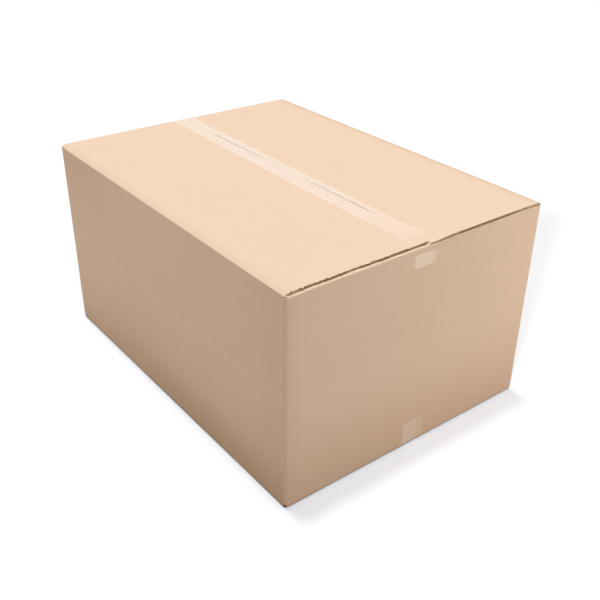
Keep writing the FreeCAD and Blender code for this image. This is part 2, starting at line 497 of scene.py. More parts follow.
    def _shade_corner(self, bench: NodeBench, body: Signal, spot: Spot) -> Signal:
        """Paints shade on both panels beside the glued corner, and darkens the raw edge at it, partly as its cut
        colour and partly as painted shade.

        Args:
            bench: adds the nodes.
            body: the colour so far.
            spot: where it is read.

        Returns:
            The colour with this laid over it.
        """
        # Painted shade on both panels beside the glued corner
        beside = spot.x.between(*self.corner_x) * spot.on_near * (1 - spot.on_end)
        beside = beside + (1 - spot.y.between(*self.corner_y)) * spot.on_end * (spot.x > 0)
        body = bench.blend(body, self.painted_shade_tone, beside * self.corner_share)
        # The raw edge at the glued corner: its darker cut colour together with painted shade
        raw_edge = (1 - spot.y.between(*self.raw_edge_y)) * (spot.x > self.raw_edge_x)
        return bench.blend(body, self.painted_shade_tone, raw_edge * self.raw_edge_share)

    def _score(self, bench: NodeBench, body: Signal, spot: Spot) -> Signal:
        """Shades the pressed line on the long panels: a dark side below and a light one above.

        Args:
            bench: adds the nodes.
            body: the colour so far.
            spot: where it is read.

        Returns:
            The colour with this laid over it.
        """
        # Painted shade below the pressed line and a painted highlight above it
        for middle, tone, share in (
            (self.score_dip, self.painted_shade_tone, self.score_dip_share),
            (self.score_ridge, self.lit, self.score_ridge_share),
        ):
            line = (1 - abs(spot.z - middle).between(0.0, self.score_half)) * (1 - spot.on_end)
            body = bench.blend(body, tone, line * share)
        return body


@dataclass(frozen=True)
class CutBoard:
    """Raw edge of the board: the torn waves between its liners, darker than its faces, partly by the torn paper's own
    tone and partly by painted shade in the flute hollows.
    """

    name: str
    # Painted shade in the flute hollows
    hollow: Colour = colour(0.26, 0.15, 0.075)
    torn: Colour = colour(0.48, 0.31, 0.18)
    fluff: Colour = colour(0.66, 0.49, 0.34)
    hollow_to_torn: Pair = (0.30, 0.58)
    torn_to_fluff: Pair = (0.30, 0.42)
    shred: float = 1.4 * MM
    tuft_scale: float = 90.0
    relief: float = 0.6 * MM
    relief_share: float = 0.8
    roughness: float = 0.92
    gloss: float = 0.2

    def make(self) -> bpy.types.Material:
        """Builds the material.

        Returns:
            The finished material.
        """
        bench = NodeBench(self.name)
        place = bench.place()
        shreds = bench.noise(place, 1 / self.shred, 3.0, 0.65)
        tufts = bench.noise(place, self.tuft_scale, 2.0)
        body = bench.blend(self.hollow, self.torn, shreds.between(*self.hollow_to_torn))
        body = bench.blend(body, self.fluff, (shreds * tufts).between(*self.torn_to_fluff))
        return bench.finish({
            "Base Color": body,
            "Roughness": self.roughness,
            "Specular IOR Level": self.gloss,
            "Normal": bench.bump(shreds, self.relief, self.relief_share),
        })


@dataclass(frozen=True)
class ClearFilm:
    """Clear packing film: a warm white haze with streaks along it and a soft gloss.

    On the top it fades and then clears towards the front. Its tails are paler, and yellow along one side.
    """

    name: str
    haze: float = 0.36
    streak: float = 0.03
    streak_scale: Place = (3.0, 160.0, 3.0)
    tint: Colour = colour(0.70, 0.65, 0.61)
    fade_x: Pair = (0.080, 0.340)
    fade_share: float = 0.42
    clear_x: Pair = (0.325, 0.362)
    clear_share: float = 0.85
    end_x: Pair = (0.3722, 0.3732)
    end_thinning: float = 0.25
    tail_tint: Colour = colour(0.812, 0.763, 0.65)
    stale_tint: Colour = colour(0.731, 0.685, 0.50)
    stale_y: Pair = (0.0125, 0.0145)
    wet_tint: Colour = colour(0.55, 0.41, 0.29)
    wet_z: Pair = (0.3835, 0.3845)
    relief: float = 0.1 * MM
    relief_share: float = 0.05
    roughness: float = 0.30
    roughness_share: float = 0.08
    gloss: float = 0.5

    def make(self) -> bpy.types.Material:
        """Builds the material.

        Returns:
            The finished material.
        """
        bench = NodeBench(self.name)
        place = bench.place()
        x, y, z = bench.axes(place)
        streaks = bench.noise(bench.stretched(place, self.streak_scale), 1.0, 2.0, 0.5)
        on_end = abs(x).between(*self.end_x)
        high = z.between(*self.wet_z)
        fading = x.between(*self.fade_x) * self.fade_share * high
        clear = x.between(*self.clear_x) * self.clear_share * high
        cover = self.haze + (streaks - 0.5) * self.streak * 2
        cover = cover * (1 - on_end * self.end_thinning) * (1 - fading) * (1 - clear)
        tint = bench.blend(self.tint, self.tail_tint, on_end)
        tint = bench.blend(tint, self.stale_tint, y.between(*self.stale_y) * on_end)
        return bench.finish({
            "Base Color": bench.blend(tint, self.wet_tint, high * on_end),
            "Roughness": self.roughness + (streaks - 0.5) * self.roughness_share,
            "Specular IOR Level": self.gloss,
            "Alpha": cover,
            "Normal": bench.bump(streaks, self.relief, self.relief_share),
        })


@dataclass(frozen=True)
class StudioPaper:
    """White floor paper, which sends less light back on to the box from near its foot.

    A shade is what the lens sees and a bounce is what the box is lit by. The lamp's values take off what
    the softbox adds to the floor.
    """

    name: str
    near_shade: Colour = colour(0.843, 0.879, 0.924)
    far_shade: Colour = colour(0.854, 0.859, 0.871)
    shade_reach: float = 0.15
    lamp_foot: Pair = (1.15, 1.0)
    lamp_faces: Pair = (0.674, 0.739)
    lamp_share: float = 0.0875
    lamp_nearest: float = 0.9
    near_bounce: float = 0.02
    far_bounce: float = 0.34
    front_bounce: float = 0.18
    bounce_reach: float = 0.32
    front_x: Pair = (-0.6, 0.5)
    front_y: Pair = (0.1, 0.5)
    half_length: float = 0.375
    half_width: float = 0.275

    def make(self) -> bpy.types.Material:
        """Builds the material.

        Returns:
            The finished material.
        """
        bench = NodeBench(self.name)
        direct = lens_rays(bench)
        x, y, _ = bench.axes(bench.place())
        away = (abs(x) - self.half_length).highest(abs(y) - self.half_width)
        front = x.between(*self.front_x) * (0 - y).between(*self.front_y)
        far_bounce = bench.blend(grey(self.far_bounce), grey(self.front_bounce), front)
        bounce = bench.blend(grey(self.near_bounce), far_bounce, away.between(0.0, self.bounce_reach))
        shade = bench.blend(self.near_shade, self.far_shade, away.between(0.0, self.shade_reach))
        shade = bench.blend(grey(0.0), shade, self._evened(x, y))
        return bench.finish({
            "Base Color": bench.blend(bounce, shade, direct),
            "Roughness": 1.0,
            "Specular IOR Level": 0.0,
        })

    def _evened(self, x: Signal, y: Signal) -> Signal:
        """Falls below 1 towards the softbox, so that white stays just white and shadows keep their depth.

        Args:
            x: the place on the floor along the box.
            y: the place across it.

        Returns:
            What the paper's colour is multiplied by.
        """
        across, along = self.lamp_foot[0] - x, self.lamp_foot[1] - y
        reach = (across * across + along * along).root().highest(self.lamp_nearest)
        facing = ((across * self.lamp_faces[0] + along * self.lamp_faces[1]) / reach).highest(0.0)
        return 1 / (1 + facing * self.lamp_share / (reach * reach * reach))


# Modelling


class Shaper:
    """Works on one mesh in edit mode: things are selected by their place, then an operator shapes them."""

    def __init__(self, piece: bpy.types.Object) -> None:
        """Takes the piece to shape."""
        self.piece = piece

    def __enter__(self) -> "Shaper":
        """Selects the piece alone and opens it."""
        activate(self.piece)
        bpy.ops.object.mode_set(mode="EDIT")
        return self

    def __exit__(self, *_: Any) -> None:
        """Closes the piece."""
        bpy.ops.object.mode_set(mode="OBJECT")

    def find(self, part: Part, where: Callable[[Any], bool]) -> int:
        """Selects what a test says, which may be nothing.

        Args:
            part: vertices, edges or faces.
            where: says whether one of them is wanted.

        Returns:
            How many were selected.
        """
        bpy.ops.mesh.select_mode(type=part.value)
        bpy.ops.mesh.select_all(action="DESELECT")
        mesh = bmesh.from_edit_mesh(self.piece.data)
        parts = {Part.VERT: mesh.verts, Part.EDGE: mesh.edges, Part.FACE: mesh.faces}[part]
        wanted = [item for item in parts if where(item)]
        for item in wanted:
            item.select_set(True)
        bmesh.update_edit_mesh(self.piece.data)
        return len(wanted)

    def pick(self, part: Part, where: Callable[[Any], bool]) -> None:
        """Selects what a test says, and stops the script where that is nothing."""
        if not self.find(part, where):
            raise ValueError(f"nothing to select on {self.piece.name}")

    def cut(self, point: Sequence[float], normal: Sequence[float]) -> None:
        """Cuts the whole mesh along a plane and keeps both sides."""
        bpy.ops.mesh.select_all(action="SELECT")
        bpy.ops.mesh.bisect(plane_co=point, plane_no=normal)

    def move(self, x: float = 0.0, y: float = 0.0, z: float = 0.0) -> None:
        """Moves what is selected."""
        bpy.ops.transform.translate(value=(x, y, z))

    def extrude(self, x: float = 0.0, y: float = 0.0, z: float = 0.0) -> None:
        """Extrudes what is selected and moves the new end."""
        bpy.ops.mesh.extrude_region_move(TRANSFORM_OT_translate={"value": (x, y, z)})


def activate(piece: bpy.types.Object) -> None:
    """Selects one object alone and makes it the active one.

    Args:
        piece: the object.
    """
    bpy.ops.object.select_all(action="DESELECT")
    piece.select_set(True)
    bpy.context.view_layer.objects.active = piece


def apply(piece: bpy.types.Object, kind: str, **settings: Any) -> None:
    """Adds a modifier and applies it.

    Args:
        piece: the object that it shapes.
        kind: the modifier's type.
        settings: its properties.
    """
    activate(piece)
    modifier = piece.modifiers.new(kind.title(), kind)
    for key, value in settings.items():
        setattr(modifier, key, value)
    bpy.ops.object.modifier_apply(modifier=modifier.name)


def same(first: float, second: float, within: float = CLOSE) -> bool:
    """Says whether two lengths are the same."""
    return abs(first - second) < within


def ends(edge: bmesh.types.BMEdge) -> tuple[Vector, Vector]:
    """Gives an edge's two places."""
    return edge.verts[0].co, edge.verts[1].co


def touches(part: Any, slot: BoardFace) -> bool:
    """Says whether a vertex or an edge has a face of the given side of the board."""
    return any(face.material_index == slot.value for face in part.link_faces)


def turn_of(edge: bmesh.types.BMEdge, slot: BoardFace) -> bool:
    """Says whether an edge is a sharp fold between two faces of one side of the board.

    Args:
        edge: the edge.
        slot: that side of the board.

    Returns:
        Whether it is.
    """
    faces = edge.link_faces
    if len(faces) != 2 or any(face.material_index != slot.value for face in faces):
        return False
    return faces[0].normal.dot(faces[1].normal) < 0.5


# The object


@dataclass(frozen=True)
class Dent:
    """A soft push on the sheet round one place. One with a side stays on that side of the seam."""

    place: Vector
    radius: float
    push: Vector
    side: int = 0
    seam_y: float = 6 * MM
    steps: int = 4

    def press(self, shaper: Shaper) -> None:
        """Moves what lies within the radius, in steps that fade outwards.

        Args:
            shaper: the open mesh.
        """
        for i in range(self.steps):
            reach = self.radius * (1 - i / self.steps)
            if not shaper.find(Part.VERT, lambda vert: (vert.co - self.place).length < reach
                               and (not self.side or (vert.co.y - self.seam_y) * self.side > 0)):
                break
            shaper.move(*(self.push / self.steps))


@dataclass(frozen=True)
class LongFlap:
    """How one long flap lies: its depths are measured from the carton's highest or lowest level."""

    side: int
    way: int
    fold: float
    shoulder: float
    lie: float
    crush: float

    @property
    def title(self) -> str:
        """Names the flap."""
        return f"{'near' if self.side < 0 else 'far'} {'top' if self.way > 0 else 'bottom'} flap"


@dataclass
class Carton:
    """The folded and glued blank, modelled as one sheet that is given its thickness."""

    board: float = 6 * MM
    fold_radius: float = 2.2 * MM
    crease_radius: float = 1 * MM
    slot_relief: float = 2 * MM
    flap_setback: float = 3 * MM
    tab_flap_x: float = 371.6 * MM
    far_flap_x: float = 374.7 * MM
    raw_round: float = 2.8 * MM
    tab_round: float = 1.0 * MM
    corner_slot: float = 3 * MM
    bottom_ridge: float = 2 * MM
    flap_clearance: float = 0.3 * MM
    seam_gap: float = 1.2 * MM
    seam_offset: float = 6 * MM
    shoulder_run: float = 5 * MM
    rise_run: float = 16 * MM
    ridge_run: float = 4.6 * MM
    ridge_drop_run: float = 8 * MM
    ridge_drop: float = 3.2 * MM
    ridge_lift: float = 1.7 * MM
    ridge_lift_ends: Pair = (-262 * MM, 1 * MM)
    seam_bulge: tuple[Pair, ...] = ((3 * MM, 4.5 * MM), (9 * MM, 2.2 * MM))
    glue_tab: float = 40 * MM
    tab_taper: float = 30 * MM
    joint_gap: float = 0.35 * MM
    score_height: float = 207 * MM
    score_half: float = 1.5 * MM
    score_depth: float = 0.1 * MM
    grid: float = 25 * MM
    border: float = 5 * MM
    fine_cuts: int = 7
    layers: int = 11
    channels: tuple[tuple[int, int], ...] = ((1, 4), (6, 9))
    channel_depth: float = 1.6 * MM
    frays: tuple[tuple[int, float], ...] = ((1, 0.9 * MM), (3, 2.6 * MM))
    fray_seed: int = 11
    far_crush: tuple[Pair, ...] = ((26 * MM, 1.3 * MM), (12.5 * MM, 1.2 * MM))
    seam_opens: tuple[Pair, ...] = ((-0.248, -0.085), (0.058, 0.233))
    seam_opening: float = 1.3 * MM
    corner_squeeze: float = 0.1
    smooth_angle: float = math.radians(38)
    flap_depth: float = 2.2
    long_flaps: tuple[LongFlap, ...] = (
        LongFlap(-1, 1, 5.6 * MM, 1.6 * MM, 0.1 * MM, 1.6 * MM),
        LongFlap(1, 1, 3.8 * MM, 2.2 * MM, 1.1 * MM, 0.9 * MM),
        LongFlap(-1, -1, 0.9 * MM, 0.3 * MM, 0.0, 4.1 * MM),
        LongFlap(1, -1, 2.2 * MM, 0.6 * MM, 0.0, 4.1 * MM),
    )
    dents: tuple[Dent, ...] = (
        Dent(Vector((-0.372, -0.275, 0.3945)), 0.012, Vector((0.0, 0.0, 2.6)) * MM),
        Dent(Vector((0.372, 0.006, 0.399)), 0.04, Vector((0.0, 0.0, -2.0)) * MM, side=1),
        Dent(Vector((0.375, 0.262, 0.3938)), 0.03, Vector((0.0, 0.0, -1.0)) * MM),
    )
    low: Vector = field(init=False)
    high: Vector = field(init=False)
    half_length: float = field(init=False)
    half_width: float = field(init=False)
    flap_x: float = field(init=False)
    end_y: float = field(init=False)
    tab_x: float = field(init=False)
    end_levels: dict[int, float] = field(init=False)
    roots: dict[int, float] = field(init=False)
    ridges: dict[int, float] = field(init=False)
    ridge_drops: dict[int, float] = field(init=False)
    levels: dict[int, float] = field(init=False)

    def __post_init__(self) -> None:
        """Takes the outside size from the frame, and works out the levels at the top (1) and the bottom (-1)."""
        self.low, self.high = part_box("carton")
        self.half_length = self.high.x
        self.half_width = self.high.y
        self.flap_x = self.half_length - self.flap_setback
        self.end_y = self.half_width - self.corner_slot
        step = self.board + self.flap_clearance
        self.end_levels = {1: self.high.z - step, -1: self.low.z + step}
        self.roots = {way: level - way * self.slot_relief for way, level in self.end_levels.items()}
        self.ridges = {1: self.end_levels[1], -1: self.low.z + self.bottom_ridge}
        self.ridge_drops = {1: self.ridge_drop, -1: self.end_levels[-1] - self.ridges[-1]}
        self.levels = {1: self.high.z, -1: self.low.z}
        self.tab_x = self.half_length - self.board - self.joint_gap

    def build(self) -> bpy.types.Object:
        """Models the carton.

        Returns:
            The finished piece.
        """
        piece = self._sleeve()
        with Shaper(piece) as shaper:
            self._glued_corner(shaper)
            self._long_flaps(shaper)
            self._end_flaps(shaper)
            self._grid_lines(shaper)
            self._raise_ridge(shaper)
            self._settle(shaper)
        apply(
            piece, "SOLIDIFY", thickness=self.board, offset=-1.0, use_even_offset=True, use_rim=True,
            material_offset=BoardFace.INSIDE.value, material_offset_rim=BoardFace.CUT.value,
        )
        with Shaper(piece) as shaper:
            self._keep_inside(shaper)
            self._round_folds(shaper)
            self._score_line(shaper)
            self._crush_ends(shaper)
            self._cut_edges(shaper)
            self._raw_corner(shaper)
        activate(piece)
        bpy.ops.object.shade_smooth_by_angle(angle=self.smooth_angle)
        return piece

    def _sleeve(self) -> bpy.types.Object:
        """Adds a block, in place, whose four sides become the panels.

        Returns:
            The open sleeve.
        """
        height = self.roots[1] - self.roots[-1]
        middle = (self.roots[1] + self.roots[-1]) / 2
        bpy.ops.object.select_all(action="DESELECT")
        bpy.ops.mesh.primitive_cube_add(
            size=1, location=(0, 0, middle), scale=(2 * self.half_length, 2 * self.half_width, height)
        )
        piece = bpy.context.object
        piece.name = "folded_board"
        bpy.ops.object.transform_apply(location=True, rotation=True, scale=True)
        for finish in (
            KraftLiner("kraft_outside"),
            KraftLiner("kraft_inside"),
            CutBoard("cut_board"),
            CutBoard("raw_corner", colour(0.60, 0.42, 0.29), colour(0.67, 0.465, 0.32)),
            # Near-black painted shadow in the opening at the glued corner's foot
            CutBoard("corner_gap_shadow", colour(0.03, 0.018, 0.012), colour(0.06, 0.035, 0.02), colour(0.09, 0.055, 0.035)),
        ):
            piece.data.materials.append(finish.make())
        with Shaper(piece) as shaper:
            shaper.pick(Part.FACE, lambda face: abs(face.normal.z) > UPRIGHT)
            bpy.ops.mesh.delete(type="FACE")
        return piece

    def _glued_corner(self, shaper: Shaper) -> None:
        """Opens the front left corner, where the near panel's tab goes inside the end panel.

        Args:
            shaper: the open mesh.
        """
        corner = (self.half_length, -self.half_width)
        shaper.pick(Part.EDGE, lambda edge: all(same(p.x, corner[0]) and same(p.y, corner[1]) for p in ends(edge)))
        bpy.ops.mesh.edge_split(type="EDGE")
        shaper.pick(Part.VERT, lambda vert: same(vert.co.x, corner[0]) and same(vert.co.y, corner[1])
                    and any(abs(face.normal.y) > UPRIGHT for face in vert.link_faces))
        shaper.move(x=self.tab_x - self.half_length)
        shaper.pick(Part.EDGE, lambda edge: all(same(p.x, self.tab_x) for p in ends(edge)))
        shaper.extrude(y=self.board + self.glue_tab)
        tab_end = -self.half_width + self.board + self.glue_tab
        for way, root in self.roots.items():
            shaper.pick(Part.VERT, lambda vert: same(vert.co.y, tab_end) and same(vert.co.z, root))
            shaper.move(z=-way * self.tab_taper)

    def _long_flaps(self, shaper: Shaper) -> None:
        """Extrudes the long flaps from the long panels. Each bulges over its fold and runs in to the seam.

        Args:
            shaper: the open mesh.
        """
        shaper.cut((self.flap_x, 0, 0), (1, 0, 0))
        shaper.cut((-self.flap_x, 0, 0), (1, 0, 0))
        for flap in self.long_flaps:
            root = self.roots[flap.way]
            level = self.levels[flap.way]
            face_y = flap.side * self.half_width
            shaper.pick(Part.EDGE, lambda edge: all(
                same(p.z, root) and same(p.y, face_y) and abs(p.x) < self.flap_x + CLOSE for p in ends(edge)
            ))
            shaper.extrude(z=level - flap.way * flap.fold - root)
            shaper.extrude(y=-flap.side * self.shoulder_run, z=flap.way * (flap.fold - flap.shoulder))
            shaper.extrude(y=-flap.side * self.rise_run, z=flap.way * (flap.shoulder - flap.lie))
            seam = self.seam_offset + flap.side * self.seam_gap / 2
            shaper.extrude(y=seam - face_y + flap.side * (self.shoulder_run + self.rise_run))
            LOG.info("%s laid", flap.title)
        shaper.pick(Part.VERT, lambda vert: same(vert.co.x, self.tab_x) and not (
            self.roots[-1] - CLOSE < vert.co.z < self.roots[1] + CLOSE))
        shaper.move(x=self.tab_flap_x - self.tab_x)
        shaper.pick(Part.VERT, lambda vert: same(vert.co.x, self.flap_x) and vert.co.y > self.seam_offset
                    and vert.co.z > self.roots[1] + CLOSE)
        shaper.move(x=self.far_flap_x - self.flap_x)

    def _end_flaps(self, shaper: Shaper) -> None:
        """Extrudes the end flaps: each folds over a ridge and dips under the long flaps.

        Args:
            shaper: the open mesh.
        """
        shaper.cut((0, self.end_y, 0), (0, 1, 0))
        shaper.cut((0, -self.end_y, 0), (0, 1, 0))
        depth = self.half_width - self.seam_gap / 2 - self.ridge_run - self.ridge_drop_run
        for way, root in self.roots.items():
            for side in (-1, 1):
                face_x = side * self.half_length
                shaper.pick(Part.EDGE, lambda edge: all(
                    same(p.z, root) and same(p.x, face_x) and abs(p.y) < self.end_y + CLOSE for p in ends(edge)
                ))
                shaper.extrude(z=self.ridges[way] - root)
                shaper.extrude(x=-side * self.ridge_run)
                shaper.extrude(x=-side * self.ridge_drop_run, z=-way * self.ridge_drops[way])
                shaper.extrude(x=-side * depth)

    def _grid_lines(self, shaper: Shaper) -> None:
        """Cuts a coarse grid into the sheet, with the score line and the flap borders on it.

        Args:
            shaper: the open mesh.
        """
        for axis, reach in ((0, self.half_length), (1, self.half_width)):
            normal = [0, 0, 0]
            normal[axis] = 1
            count = int(2 * (reach - self.grid) / self.grid)
            for i in range(count + 1):
                place = -reach + self.grid + i * 2 * (reach - self.grid) / count
                shaper.cut([place if a == axis else 0 for a in range(3)], normal)
        for y, _ in self.seam_bulge:
            shaper.cut((0, y, 0), (0, 1, 0))
        for x in (-self.flap_x + self.border, *(x - self.border for x in self._front_ends())):
            shaper.cut((x, 0, 0), (1, 0, 0))
        for z in (-self.score_half, 0, self.score_half):
            shaper.cut((0, 0, self.score_height + z), (0, 0, 1))
        levels = int((self.roots[1] - self.roots[-1]) / self.grid)
        for i in range(1, levels):
            shaper.cut((0, 0, self.roots[-1] + i * self.grid), (0, 0, 1))

    def _raise_ridge(self, shaper: Shaper) -> None:
        """Lifts the front end panel's fold beside the near flap, where nothing presses it down.

        Args:
            shaper: the open mesh.
        """
        inner_x = self.half_length - self.ridge_run - CLOSE
        first, last = self.ridge_lift_ends
        for inset in (0.0, self.grid):
            shaper.pick(Part.VERT, lambda vert: vert.co.x > inner_x and first + inset < vert.co.y < last - inset
                        and same(vert.co.z, self.end_levels[1], self.ridge_lift) and vert.co.z > self.roots[1] + CLOSE)
            shaper.move(z=self.ridge_lift / 2)
        for y, lift in self.seam_bulge:
            shaper.pick(Part.VERT, lambda vert: vert.co.x > inner_x and same(vert.co.y, y)
                        and same(vert.co.z, self.end_levels[1]))
            shaper.move(z=lift)

    def _settle(self, shaper: Shaper) -> None:
        """Gives the closed box its small unevenness: pressed corners and a seam that opens in places.

        Args:
            shaper: the open mesh.
        """
        shaper.pick(Part.VERT, lambda vert: same(vert.co.x, self.tab_flap_x) and -MM < vert.co.y < self.seam_offset
                    and vert.co.z > self.roots[1])
        bpy.ops.transform.resize(value=(1, self.corner_squeeze, 1), center_override=(0, -MM, 0))
        for dent in self.dents:
            dent.press(shaper)
        for first, last in self.seam_opens:
            for side in (-1, 1):
                seam = self.seam_offset + side * self.seam_gap / 2
                shaper.pick(Part.VERT, lambda vert: first < vert.co.x < last and same(vert.co.y, seam)
                            and vert.co.z > self.end_levels[1])
                shaper.move(y=side * self.seam_opening)

    def _keep_inside(self, shaper: Shaper) -> None:
        """Brings the inner side of the steep bulge at the seam back within the board's thickness.

        Args:
            shaper: the open mesh.
        """
        middle_x = self.half_length - self.board / 2
        shaper.pick(Part.VERT, lambda vert: vert.co.x > middle_x and all(
            face.material_index == BoardFace.INSIDE.value for face in vert.link_faces
        ))
        bpy.ops.transform.resize(value=(0, 1, 1), center_override=(middle_x, 0, 0))

    def _round_folds(self, shaper: Shaper) -> None:
        """Rounds the folds on the board's outer and inner sides, the tab's fold and the raw edge beside it.

        Args:
            shaper: the open mesh.
        """
        corner_y = -self.half_width
        shaper.pick(Part.EDGE, lambda edge: turn_of(edge, BoardFace.OUTSIDE)
                    and not all(same(p.x, self.tab_x) and same(p.y, corner_y) for p in ends(edge)))
        self._round(self.fold_radius, segments=5)
        shaper.pick(Part.EDGE, lambda edge: all(same(p.x, self.tab_x) and same(p.y, corner_y) for p in ends(edge)))
        self._round(self.tab_round, segments=3)
        shaper.pick(Part.EDGE, lambda edge: touches(edge, BoardFace.OUTSIDE) and all(
            same(p.x, self.half_length) and same(p.y, corner_y) for p in ends(edge)
        ))
        self._round(self.raw_round, segments=4, material=BoardFace.OUTSIDE.value)
        inner_reach = self.half_width - 2 * self.board
        shaper.pick(Part.EDGE, lambda edge: turn_of(edge, BoardFace.INSIDE)
                    and all(abs(p.y) < inner_reach for p in ends(edge)))
        self._round(self.crease_radius, segments=2)

    def _round(self, radius: float, segments: int, **settings: Any) -> None:
        """Rounds the selected edges."""
        bpy.ops.mesh.bevel(offset=radius, segments=segments, profile=0.5, affect="EDGES", **settings)

    def _score_line(self, shaper: Shaper) -> None:
        """Presses the level score line into the outer side."""
        shaper.pick(Part.VERT, lambda vert: same(vert.co.z, self.score_height) and touches(vert, BoardFace.OUTSIDE))
        bpy.ops.transform.shrink_fatten(value=-self.score_depth)

    def _crush_ends(self, shaper: Shaper) -> None:
        """Presses the long flaps' cut ends thinner from below.

        Args:
            shaper: the open mesh.
        """
        for flap in self.long_flaps:
            level = self.levels[flap.way]
            shaper.pick(Part.VERT, lambda vert: self._at_flap_end(vert.co) and vert.co.y * flap.side > 0
                        and abs(vert.co.z - level) < 2 * self.board and not touches(vert, BoardFace.OUTSIDE))
            shaper.move(z=flap.way * flap.crush)
        for reach, crush in self.far_crush:
            shaper.pick(Part.VERT, lambda vert: same(vert.co.x, self.far_flap_x)
                        and self.seam_offset < vert.co.y < reach and not touches(vert, BoardFace.OUTSIDE))
            shaper.move(z=crush)

    def _cut_edges(self, shaper: Shaper) -> None:
        """Opens the hollow waves in the long flaps' cut ends and frays them.

        Args:
            shaper: the open mesh.
        """
        shaper.pick(Part.EDGE, self._beside_flap_end)
        bpy.ops.mesh.subdivide(number_cuts=self.fine_cuts)
        shaper.pick(Part.EDGE, self._across_flap_end)
        bpy.ops.mesh.subdivide(number_cuts=self.layers - 1)
        hollows = self._hollow_plies(shaper)
        shaper.pick(Part.FACE, lambda face: face.index in hollows)
        bpy.ops.mesh.extrude_region_shrink_fatten(TRANSFORM_OT_shrink_fatten={"value": -self.channel_depth})
        for step, shake in self.frays:
            self._fray(shaper, step, shake)

    def _fray(self, shaper: Shaper, step: int, shake: float) -> None:
        """Tears the near top flap's upper liner along its front end.

        Args:
            shaper: the open mesh.
            step: one in how many points is moved.
            shake: how far a point may move.
        """
        level = self.levels[1]
        pitch = self.grid / (self.fine_cuts + 1)
        shaper.pick(Part.VERT, lambda vert: same(vert.co.x, self.tab_flap_x, MM) and vert.co.z > self.roots[1]
                    and vert.co.y < self.seam_offset - self.board and round(vert.co.y / pitch) % step == 0
                    and touches(vert, BoardFace.OUTSIDE))
        bpy.ops.transform.vertex_random(offset=shake, uniform=1.0, normal=0.0, seed=self.fray_seed)
        shaper.pick(Part.VERT, lambda vert: vert.co.z > level)
        bpy.ops.transform.resize(value=(1, 1, 0), center_override=(0, 0, level))

    def _raw_corner(self, shaper: Shaper) -> None:
        """Gives the end panel's raw edge at the glued corner a paler finish, and the opening at its foot a near-black
        painted shadow.

        Args:
            shaper: the open mesh.
        """
        corner = Vector((self.half_length, -self.half_width))
        for finish, low, high in (
            (BoardFace.RAW_CORNER, self.board, self.end_levels[1]),
            (BoardFace.CORNER_GAP_SHADOW, 0.0, self.board),
        ):
            shaper.pick(Part.FACE, lambda face: face.material_index == BoardFace.CUT.value
                        and (face.calc_center_median().xy - corner).length < 2 * self.board
                        and low < face.calc_center_median().z < high)
            shaper.piece.active_material_index = finish.value
            bpy.ops.object.material_slot_assign()

    def _at_flap_end(self, place: Vector) -> bool:
        """Says whether a place lies in the plane of a long flap's cut end."""
        return same(place.x, -self.flap_x) or any(same(place.x, x) for x in self._front_ends())

    def _front_ends(self) -> Place:
        """Gives where the long flaps end at the front: the bottom ones, the near top one, the far top one."""
        return (self.flap_x, self.tab_flap_x, self.far_flap_x)

    def _on_long_flap(self, place: Vector) -> bool:
        """Says whether a place lies on a long flap's run from its fold to the seam."""
        near_level = min(abs(place.z - level) for level in self.levels.values())
        return abs(place.y) < self.half_width - self.fold_radius + CLOSE and near_level < self.flap_depth * self.board

    def _beside_flap_end(self, edge: bmesh.types.BMEdge) -> bool:
        """Says whether an edge runs across a long flap at its cut end or one border inside it.

        Args:
            edge: the edge.

        Returns:
            Whether it does.
        """
        first, last = ends(edge)
        runs_across = same(first.x, last.x) and abs(first.y - last.y) > self.board
        borders = (self.border - self.flap_x, *(x - self.border for x in self._front_ends()))
        at_border = any(same(first.x, border) for border in borders)
        return runs_across and (self._at_flap_end(first) or at_border) and self._on_long_flap((first + last) / 2)

    def _across_flap_end(self, edge: bmesh.types.BMEdge) -> bool:
        """Says whether an edge crosses the board's thickness at a long flap's cut end.

        Args:
            edge: the edge.

        Returns:
            Whether it does.
        """
        first, last = ends(edge)
        upright = same(first.x, last.x) and same(first.y, last.y, MM) and abs(first.z - last.z) > self.board / 3
        return upright and self._at_flap_end(first) and self._on_long_flap((first + last) / 2)

    def _hollow_plies(self, shaper: Shaper) -> set[int]:
        """Finds the small faces between the plies, column by column along each cut end.

        Args:
            shaper: the open mesh.

        Returns:
            The numbers of the faces that are pushed in.
        """
        mesh = bmesh.from_edit_mesh(shaper.piece.data)
        mesh.faces.ensure_lookup_table()
        columns: dict[tuple[int, int, int], list[tuple[float, int]]] = {}
        flat_reach = self.half_width - self.shoulder_run - self.rise_run
        for face in mesh.faces:
            middle = face.calc_center_median()
            if abs(face.normal.x) < UPRIGHT or not self._at_flap_end(middle) or abs(middle.y) > flat_reach:
                continue
            if not self._on_long_flap(middle):
                continue
            key = (middle.x > 0, middle.z > self.roots[1], round(middle.y / CLOSE))
            columns.setdefault(key, []).append((middle.z, face.index))
        hollows = set()
        for column in columns.values():
            if len(column) == self.layers:
                plies = [number for _, number in sorted(column)]
                hollows.update(plies[i] for first, last in self.channels for i in range(first, last + 1))
        return hollows


